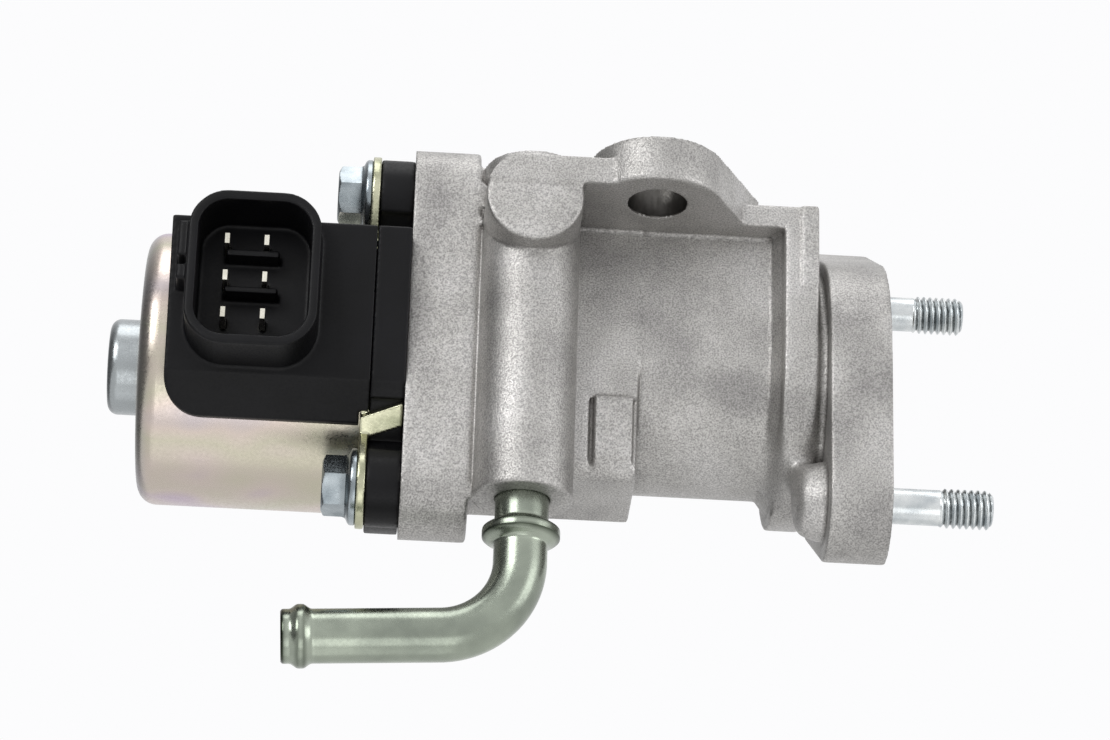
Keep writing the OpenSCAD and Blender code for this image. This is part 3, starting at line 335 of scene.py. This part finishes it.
# %% Helpers for meshes
def rings_to_mesh(rings, loop=False):
    """Joins rings of equal length into a tube. A loop joins the last ring to the first, uncapped."""
    count = len(rings[0])
    points = [p for ring in rings for p in ring]
    faces = []
    for i in range(len(rings) if loop else len(rings) - 1):
        a, b = i * count, (i + 1) % len(rings) * count
        faces += [(a + j, a + (j + 1) % count, b + (j + 1) % count, b + j) for j in range(count)]
    if not loop:
        faces.append(tuple(range(count - 1, -1, -1)))
        last = (len(rings) - 1) * count
        faces.append(tuple(range(last, last + count)))
    return points, faces


def join_shapes(shapes):
    points, faces = [], []
    for shape_points, shape_faces in shapes:
        start = len(points)
        points += [tuple(p) for p in shape_points]
        faces += [tuple(start + i for i in face) for face in shape_faces]
    return points, faces


def turned_shape(profile, centre, count=64):
    """Turns a profile of (x, radius) round a line along X. A radius may be a function of the angle."""
    rings = []
    for x, radius in profile:
        ring = []
        for j in range(count):
            angle = 2 * math.pi * j / count
            r = radius(angle) if callable(radius) else radius
            ring.append((x, centre[0] + r * math.cos(angle), centre[1] + r * math.sin(angle)))
        rings.append(ring)
    return rings_to_mesh(rings)


def add_piece(name, shape, finish, body, node=None, sharp=35):
    """Makes a piece from points in millimetres and fixes it to a body."""
    points, faces = shape
    mesh = bpy.data.meshes.new(name)
    mesh.from_pydata([tuple(v * MM for v in p) for p in points], [], faces)
    return place_mesh(name, mesh, finish, body, node, sharp)


def place_mesh(name, mesh, finish, body, node=None, sharp=35):
    """Shades a mesh smooth, with edges sharper than sharp degrees kept, and fixes it to a body."""
    mesh.validate()
    mesh.shade_smooth()
    if sharp:
        mesh.set_sharp_from_angle(angle=math.radians(sharp))
    if not mesh.materials:
        mesh.materials.append(finish)
    piece = bpy.data.objects.new(name, mesh)
    bpy.context.collection.objects.link(piece)
    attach(piece, body)
    if node:
        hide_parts(node)
    print(name, "has", len(mesh.polygons), "faces")
    return piece


# %% [markdown]
# ## The cast skin
# A casting has no sharp edges except where it was machined. The CAD body has sharp edges everywhere,
# so its copy is rebuilt from small cubes of space, a voxel remesh, and then relaxed: each point moves
# towards the middle of its neighbours, which rounds edges. Movement out of the surface is held back,
# so inner corners stay crisp and dark. Points near a machined face or a hole stay where they are, so
# those edges stay crisp too, as they do on the real part.

# %% Helper that rounds a copy of a solid
STEP = 0.5  # how far towards the middle of its neighbours a point goes in each pass
OUTWARD_SHARE = 0.25
MELT_PASSES = 300


def bake(work):
    """The mesh of an object with its modifiers applied."""
    return bpy.data.meshes.new_from_object(work.evaluated_get(bpy.context.evaluated_depsgraph_get()))


def read_points(mesh, field):
    values = np.empty(len(mesh.vertices) * 3, np.float32)
    mesh.vertices.foreach_get(field, values)
    return values.reshape(-1, 3)


def neighbour_sum(points, owner, other, count):
    """For each of count points, the sum of the points that its edges lead to."""
    return np.stack([np.bincount(owner, points[other, k], count) for k in range(3)], 1)


def softened_copy(node, name, voxel_mm, passes, keep_triangles, freedom=None, tilt=0,
                  x_range=None, fills=(), reshape=None, melt=None):
    """freedom says how freely each point is relaxed, from 0 to 1.
    tilt turns the solid level before it is cut into cubes, so that its flat faces stay flat.
    x_range cuts both end faces flat again, a hair inside the solid, which leaves a parting line.
    fills are boxes of metal added before the rounding, and reshape moves points after it.
    melt says how freely each point is relaxed for much longer, where one form runs into another."""
    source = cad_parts[node]
    work = bpy.data.objects.new("work", source.data.copy())
    bpy.context.collection.objects.link(work)
    shape = bmesh.new()
    shape.from_mesh(work.data)
    for low, high in fills:
        low, high = Vector(low) * MM, Vector(high) * MM
        size = Matrix.Diagonal((*(high - low), 1))
        bmesh.ops.create_cube(shape, size=1, matrix=Matrix.Translation((low + high) / 2) @ size)
    shape.to_mesh(work.data)
    shape.free()
    work.data.transform(Matrix.Rotation(-tilt, 4, "X"))
    remesh = work.modifiers.new("voxels", "REMESH")
    remesh.mode = "VOXEL"
    remesh.voxel_size = voxel_mm * MM
    mesh = bake(work)
    work.modifiers.clear()
    points = read_points(mesh, "co").astype(float) / MM
    edges = np.empty(len(mesh.edges) * 2, np.int32)
    mesh.edges.foreach_get("vertices", edges)
    ends = np.concatenate([edges.reshape(-1, 2), edges.reshape(-1, 2)[:, ::-1]])
    neighbours = np.bincount(ends[:, 0], minlength=len(points))
    normals = read_points(mesh, "normal")
    weight = STEP * (freedom(points)[:, None] if freedom else 1)
    for _ in range(passes):
        total = neighbour_sum(points, ends[:, 0], ends[:, 1], len(points))
        shift = total / neighbours[:, None] - points
        outward = (shift * normals).sum(1, keepdims=True) > 0
        points += weight * np.where(outward, OUTWARD_SHARE, 1) * shift
    if x_range:
        points[:, 0] = np.clip(points[:, 0], *x_range)
    if melt:
        share = melt(points)
        chosen = np.flatnonzero(share)
        share = STEP * share[chosen, None]
        place = np.full(len(points), -1)
        place[chosen] = np.arange(len(chosen))
        near = ends[place[ends[:, 0]] >= 0]
        owner, other = place[near[:, 0]], near[:, 1]
        for _ in range(MELT_PASSES):
            total = neighbour_sum(points, owner, other, len(chosen))
            points[chosen] += share * (total / neighbours[chosen, None] - points[chosen])
    if reshape:
        points = reshape(points)
    mesh.vertices.foreach_set("co", (points * MM).astype(np.float32).ravel())
    mesh.update()
    triangles = 2 * len(mesh.polygons)
    work.data = mesh
    thin = work.modifiers.new("fewer", "DECIMATE")
    thin.ratio = min(1, keep_triangles / triangles)
    light_mesh = bake(work)
    bpy.data.objects.remove(work)
    light_mesh.name = name
    light_mesh.transform(Matrix.Rotation(tilt, 4, "X"))
    light_mesh.materials.clear()
    print(name, "had", triangles, "triangles before thinning")
    return light_mesh


# %% The cast body
TOP_Z, INLET_X, MOTOR_FACE_X = 27, 0, -73.2
BOLT_HOLES = [(-36.3, -25.4), (-36.3, 25.4)]
BOLT_HOLE_R = 4.5


def machined_distance(p):
    """How far each point lies from the nearest machined face or hole edge, in millimetres."""
    away = np.minimum(np.abs(p[:, 0] - INLET_X), np.abs(p[:, 0] - MOTOR_FACE_X))
    away = np.minimum(away, np.abs(p[:, 2] - TOP_Z))
    for x, y in BOLT_HOLES:
        away = np.minimum(away, np.abs(np.hypot(p[:, 0] - x, p[:, 1] - y) - BOLT_HOLE_R))
    return away


EDGE_KEPT, EDGE_FADE = 0.3, 0.8


def free_share(p):
    """Points on a machined edge stay, and those a little away from it are free."""
    return np.clip((machined_distance(p) - EDGE_KEPT) / EDGE_FADE, 0, 1)


PAD_X, PAD_Z, PAD_R, PAD_BACK_Y, WEB_TOP_Z = -55.1, 17.6, 7.4, -19, 24.6
WEB_SPARE = 0.4
SLOT_FILL = ((-63.4, -20.6, 4), (-61.8, -14, 21.3))
STUD_BOSS_LOW, STUD_BOSS_HIGH, STUD_BOSS_FADE = (-25, -26, -31), (-10.6, -1, -10), 8


def near_stud_boss(p):
    """Marks the boss of the lower stud, which runs into the collar on the real casting."""
    inside = ((p > STUD_BOSS_LOW) & (p < STUD_BOSS_HIGH)).all(1)
    return inside * np.clip((STUD_BOSS_HIGH[2] - p[:, 2]) / STUD_BOSS_FADE, 0, 1) ** 2


def round_web_corner(p):
    """Pulls the left end of the web in to the circle of the round pad below it."""
    across, up = p[:, 0] - PAD_X, p[:, 2] - PAD_Z
    away = np.maximum(np.hypot(across, up), 1e-6)
    outside = (across < 0) & (across > -PAD_R - WEB_SPARE) & (up > 0) & (away > PAD_R)
    outside &= (p[:, 1] < PAD_BACK_Y) & (p[:, 2] < WEB_TOP_Z)
    pull = np.where(outside, PAD_R / away, 1)
    p = p.copy()
    p[:, 0], p[:, 2] = PAD_X + across * pull, PAD_Z + up * pull
    return p


body_mesh = softened_copy("valve_body", "cast_body", 0.3, 7, 190000, freedom=free_share,
                          fills=[SLOT_FILL], reshape=round_web_corner, melt=near_stud_boss)
cast_body = place_mesh("cast_body", body_mesh, cast_aluminium, "housing", "valve_body",
                       sharp=0)

# %% Its machined faces and drilled walls
MACHINED, DRILLED = 1, 2  # places in the body's list of finishes, after the cast skin
FACE_SPARE, WALL_SPARE, NEARLY_STRAIGHT, HALF_TURNED = 0.1, 0.2, 0.95, 0.5
body_mesh.materials.append(machined_aluminium)
# the dark finish for the drilled walls is painted shade inside the holes
body_mesh.materials.append(hole_shade_aluminium)
for face in body_mesh.polygons:
    x, y, z = face.center / MM
    on_top = abs(z - TOP_Z) < FACE_SPARE and face.normal.z > NEARLY_STRAIGHT
    on_end = (min(abs(x - INLET_X), abs(x - MOTOR_FACE_X)) < FACE_SPARE
              and abs(face.normal.x) > NEARLY_STRAIGHT)
    on_wall = any(math.hypot(x - a, y - b) < BOLT_HOLE_R + WALL_SPARE for a, b in BOLT_HOLES)
    if on_top or on_end:
        face.material_index = MACHINED
        face.use_smooth = False
    elif on_wall and abs(face.normal.z) < HALF_TURNED:
        face.material_index = DRILLED
finishes = [face.material_index for face in body_mesh.polygons]
print("turned faces:", finishes.count(MACHINED), "faces of drilled walls:", finishes.count(DRILLED))

# %% [markdown]
# ## Moulded and pressed parts
# Mouldings have small radii on every edge, and a pressed plate has a rounded shear edge. Both come from
# the same rounding, with finer cubes. The socket is tilted, so it is turned level while it is rounded.

# %% Housing, base and steel plate
SOCKET_TILT = math.radians(5)
BASE_X = -78.4
place_mesh("socket_housing", softened_copy("connector_housing", "socket_housing", 0.24, 4, 110000,
                                           tilt=SOCKET_TILT, x_range=(-109.2, BASE_X - 0.08)),
           black_plastic, "housing", "connector_housing", sharp=0)
place_mesh("moulded_base", softened_copy("motor_base", "moulded_base", 0.3, 3, 70000,
                                         x_range=(-84.2, MOTOR_FACE_X + 2)),
           black_plastic, "housing", "motor_base", sharp=0)
place_mesh("pressed_plate", softened_copy("mounting_plate", "pressed_plate", 0.22, 2, 60000),
           plate_zinc, "housing", "mounting_plate", sharp=0)

# %% [markdown]
# ## Studs
# Each stud has a rolled thread, and its plain part is a little thinner than the crests, since rolling
# pushes the metal up. The thread is one surface whose radius follows the place along the stud and the
# angle round it, which makes a true helix without any cutting.

# %% Threaded studs
STUD_R, STUD_CIRCLE_R, STUD_ANGLES = 3.0, 26.2, (60, 240)
STUD_IN, STUD_OUT, THREAD_START = -8.0, 16.0, 7.8
PITCH, THREAD_DEPTH, SHANK_R, ROOT_R = 1.0, 0.58, 2.72, 2.5
STEPS_PER_TURN = 14


def thread_radius(x, angle):
    turn = (x / PITCH - angle / (2 * math.pi)) % 1
    crest = min(1, max(0, 1.35 * (1 - abs(2 * turn - 1)) - 0.15))
    start = min(1, max(0, (x - THREAD_START) / PITCH))
    radius = SHANK_R + start * (STUD_R - THREAD_DEPTH * (1 - crest) - SHANK_R)
    return min(radius, STUD_R - max(0, x - STUD_OUT + 0.7))


thread_rings = int((STUD_OUT - THREAD_START) / PITCH * STEPS_PER_TURN)
profile = [(STUD_IN, ROOT_R), (-0.01, ROOT_R), (0, SHANK_R), (2, SHANK_R), (5, SHANK_R)]
for i in range(thread_rings + 1):
    x = THREAD_START + (STUD_OUT - THREAD_START) * i / thread_rings
    profile.append((x, lambda angle, x=x: thread_radius(x, angle)))
studs = []
for degrees in STUD_ANGLES:
    a = math.radians(degrees)
    studs.append(turned_shape(profile, (STUD_CIRCLE_R * math.cos(a), STUD_CIRCLE_R * math.sin(a)), 56))
add_piece("threaded_studs", join_shapes(studs), bright_zinc, "housing", "inlet_studs",
          sharp=50)

# %% [markdown]
# ## Flange bolts
# The bolts are cold-headed: a hexagon with its corners cut by a cone, a shallow dish in its top, and a
# washer face that flares out below it.

# %% Hexagon flange bolts
BOLT_CIRCLE_R, BOLT_ANGLES = 28.2, (60, 180, 300)
HEX_FLATS, HEX_TOP, HEX_FOOT, PLATE_X = 8.0, -84.9, -81.2, -79.7
WASHER_R, BOLT_R, BOLT_END = 5.8, 2.5, -65.2
CONE_START_R, CONE_SLOPE = 3.75, 1.9


def hexagon_radius(angle, cap):
    side = math.degrees(angle) % 60 - 30
    return min(HEX_FLATS / 2 / math.cos(math.radians(side)), cap)


profile = [(HEX_TOP + 0.35, 0.4), (HEX_TOP + 0.35, 2.6), (HEX_TOP + 0.06, 3.2), (HEX_TOP, 3.5)]
for depth in (0, 0.08, 0.16, 0.24, 0.32, 0.42, 0.55, 1.2, 2.2, 3.2):
    cap = CONE_START_R + depth * CONE_SLOPE
    profile.append((HEX_TOP + depth, lambda angle, cap=cap: hexagon_radius(angle, cap)))
profile += [(HEX_FOOT - 0.15, lambda angle: hexagon_radius(angle, 9) + 0.12), (HEX_FOOT + 0.1, 4.9),
            (HEX_FOOT + 0.35, 5.45), (HEX_FOOT + 0.6, 5.72), (HEX_FOOT + 0.8, WASHER_R),
            (PLATE_X - 0.15, WASHER_R), (PLATE_X, WASHER_R - 0.2), (PLATE_X, BOLT_R), (BOLT_END, BOLT_R)]
bolts = []
for degrees in BOLT_ANGLES:
    a = math.radians(degrees)
    bolts.append(turned_shape(profile, (-BOLT_CIRCLE_R * math.cos(a), -BOLT_CIRCLE_R * math.sin(a)), 72))
add_piece("flange_bolts", join_shapes(bolts), bolt_zinc, "housing", "motor_bolts",
          sharp=28)

# %% [markdown]
# ## Coolant pipe
# The pipe is a bent tube with two upset beads, one that stops it at the casting and one that holds the
# hose. Its rings follow the centre line down, round the bend and along the hose end, outside first and
# then back along the inside, so that the wall shows at its open end.

# %% Bent pipe with its beads
PIPE_X, PIPE_Y, PIPE_TOP_Z, BEND_Z = -55.1, -20.0, -16.0, -37.9
PIPE_R, PIPE_BORE_R, BEND_R = 4.0, 3.0, 12.0
BEND_ANGLE, RUN = math.radians(86.5), 23.2
STOP_BEAD_Z, STOP_BEAD_RISE, HOSE_BEAD_BACK, HOSE_BEAD_RISE = -33.4, 1.8, 2.9, 0.7
DROP = PIPE_TOP_Z - BEND_Z
ARC = BEND_R * BEND_ANGLE
PIPE_LENGTH = DROP + ARC + RUN


def pipe_place(along):
    """The centre of the pipe at a length along it, and the direction across it in its own plane."""
    bend_x = PIPE_X - BEND_R
    if along < DROP:
        return (PIPE_X, PIPE_TOP_Z - along), (1, 0)
    angle = min((along - DROP) / BEND_R, BEND_ANGLE)
    across = (math.cos(angle), -math.sin(angle))
    past = max(0, along - DROP - ARC)
    centre = (bend_x + BEND_R * across[0] - past * math.sin(angle),
              BEND_Z + BEND_R * across[1] - past * math.cos(angle))
    return centre, across


def bead(distance, half, flat):
    """1 within flat of a bead's middle, down to 0 at half its width."""
    t = min(1, max(0, (half - abs(distance)) / (half - flat)))
    return t * t * (3 - 2 * t)


def pipe_radius(along):
    stop = STOP_BEAD_RISE * bead(along - (PIPE_TOP_Z - STOP_BEAD_Z), 1.8, 0.5)
    hose = HOSE_BEAD_RISE * bead(PIPE_LENGTH - along - HOSE_BEAD_BACK, 1.7, 0.3)
    lip = 0.3 * max(0, 1 - (PIPE_LENGTH - along) / 0.35) ** 2
    return PIPE_R + stop + hose - lip


def pipe_ring(along, radius, count=64):
    (x, z), (ax, az) = pipe_place(along)
    angles = [2 * math.pi * j / count for j in range(count)]
    return [(x + radius * math.cos(a) * ax, PIPE_Y + radius * math.sin(a), z + radius * math.cos(a) * az)
            for a in angles]


OUTSIDE_STEPS, INSIDE_STEPS = 260, 60
outside = [PIPE_LENGTH * i / OUTSIDE_STEPS for i in range(OUTSIDE_STEPS + 1)]
inside = [PIPE_LENGTH * i / INSIDE_STEPS for i in range(INSIDE_STEPS, -1, -1)]
pipe_rings = [pipe_ring(v, pipe_radius(v)) for v in outside]
pipe_rings += [pipe_ring(v, PIPE_BORE_R) for v in inside]
add_piece("bent_pipe", rings_to_mesh(pipe_rings, loop=True), pipe_zinc, "housing", "coolant_pipe",
          sharp=50)

# %% [markdown]
# ## Return spring
# The valve presses its return spring together as it lifts. The spring's far end stands on the wall of
# the stem guide. A copy of the solid, with a mesh of its own, takes the CAD spring's place.

# %% Copy of the return spring
spring = place_mesh("coil_spring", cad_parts["return_spring"].data.copy(), spring_steel, "housing",
                    "return_spring")
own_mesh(spring)

# %% [markdown]
# ## Floor and light
# The valve is seen from below, so the pale floor lies well under the camera. Light comes from a bright
# room and five large soft lamps. The room and the floor look white to the camera and in the metal's
# reflections, as in a studio tent, and light the object at a lower level, so that nothing burns out.
# The metal sees the left end of the tent darker, which draws the round edges of the can and the bolts.

# %% Rays that see the white tent
def seen_share(tree, share):
    """Equals share for rays from the camera, off metal or through glass, and 0 for all others."""
    path = add_node(tree, "ShaderNodeLightPath")
    seen = path.outputs["Is Camera Ray"]
    for ray in ("Is Glossy Ray", "Is Transmission Ray"):
        seen = add_node(tree, "ShaderNodeMath", {0: seen, 1: path.outputs[ray]},
                        operation="MAXIMUM").outputs[0]
    return add_node(tree, "ShaderNodeMath", {0: seen, 1: share}, operation="MULTIPLY").outputs[0]


# %% Floor
FLOOR_Z, FLOOR_HALF = -1.5, 4
floor_mesh = bpy.data.meshes.new("floor")
corners = [(-1, -1), (1, -1), (1, 1), (-1, 1)]
floor_mesh.from_pydata([(x * FLOOR_HALF, y * FLOOR_HALF, FLOOR_Z) for x, y in corners], [],
                       [(0, 1, 2, 3)])
floor = bpy.data.objects.new("floor", floor_mesh)
bpy.context.collection.objects.link(floor)
paper = make_plain("pale_paper_floor", "#e6e5e2", "#efeeec", 0, 0.8, 200, 2, 0.05)
paper_tree = paper.node_tree
glow = add_node(paper_tree, "ShaderNodeEmission", {"Color": linear("#fafafa"), "Strength": 1.0})
both = add_node(paper_tree, "ShaderNodeMixShader", {"Fac": seen_share(paper_tree, 0.9)})
paper_tree.links.new(paper_tree.nodes["Principled BSDF"].outputs[0], both.inputs[1])
paper_tree.links.new(glow.outputs[0], both.inputs[2])
paper_tree.links.new(both.outputs[0], paper_tree.nodes["Material Output"].inputs["Surface"])
floor_mesh.materials.append(paper)
print("floor at", FLOOR_Z, "m")

# %% Room
world = bpy.data.worlds.new("room")
bpy.context.scene.world = world
world.use_nodes = True
room = world.node_tree
room.nodes.clear()
heading = add_node(room, "ShaderNodeTexCoord").outputs["Generated"]
along = add_node(room, "ShaderNodeSeparateXYZ", {"Vector": heading}).outputs["X"]
wall = add_node(room, "ShaderNodeMapRange",
                {"Value": along, "From Min": -0.8, "From Max": -0.15, "To Min": 0.15})
camera_ray = add_node(room, "ShaderNodeLightPath").outputs["Is Camera Ray"]
strength = add_node(room, "ShaderNodeMath", {0: wall.outputs["Result"], 1: camera_ray},
                    operation="MAXIMUM")
seen = add_node(room, "ShaderNodeBackground",
                {"Color": linear("#fcfcfd"), "Strength": strength.outputs[0]})
lit = add_node(room, "ShaderNodeBackground", {"Color": linear("#f4f6fa"), "Strength": 0.5})
mix = add_node(room, "ShaderNodeMixShader", {"Fac": seen_share(room, 1)})
room.links.new(lit.outputs[0], mix.inputs[1])
room.links.new(seen.outputs[0], mix.inputs[2])
add_node(room, "ShaderNodeOutputWorld", {"Surface": mix.outputs[0]})
print("room nodes:", len(room.nodes))

# %% Lamps
LIT_POINT = Vector((-55 * MM, 0, 0))


def add_softbox(name, offset, size, power):
    """A square lamp that looks at the valve, placed by camera right, camera up and towards camera."""
    data = bpy.data.lights.new(name, "AREA")
    data.shape = "SQUARE"
    data.size = size
    data.energy = power
    lamp = bpy.data.objects.new(name, data)
    bpy.context.collection.objects.link(lamp)
    right, up, near = offset
    lamp.location = LIT_POINT + camera_right * right + camera_up * up + backward * near
    lamp.rotation_mode = "QUATERNION"
    lamp.rotation_quaternion = (LIT_POINT - lamp.location).to_track_quat("-Z", "Y")


add_softbox("key_softbox", (-0.45, 0.5, 0.5), 0.45, 3)
add_softbox("front_softbox", (0.05, -0.4, 0.85), 0.5, 0.8)
add_softbox("right_softbox", (0.7, 0.15, 0.3), 0.4, 1)
add_softbox("top_softbox", (-0.05, 0.8, -0.15), 0.5, 1.5)
add_softbox("low_softbox", (-0.1, -0.75, 0.35), 0.5, 0.3)
print("lamps:", len(bpy.data.lights))
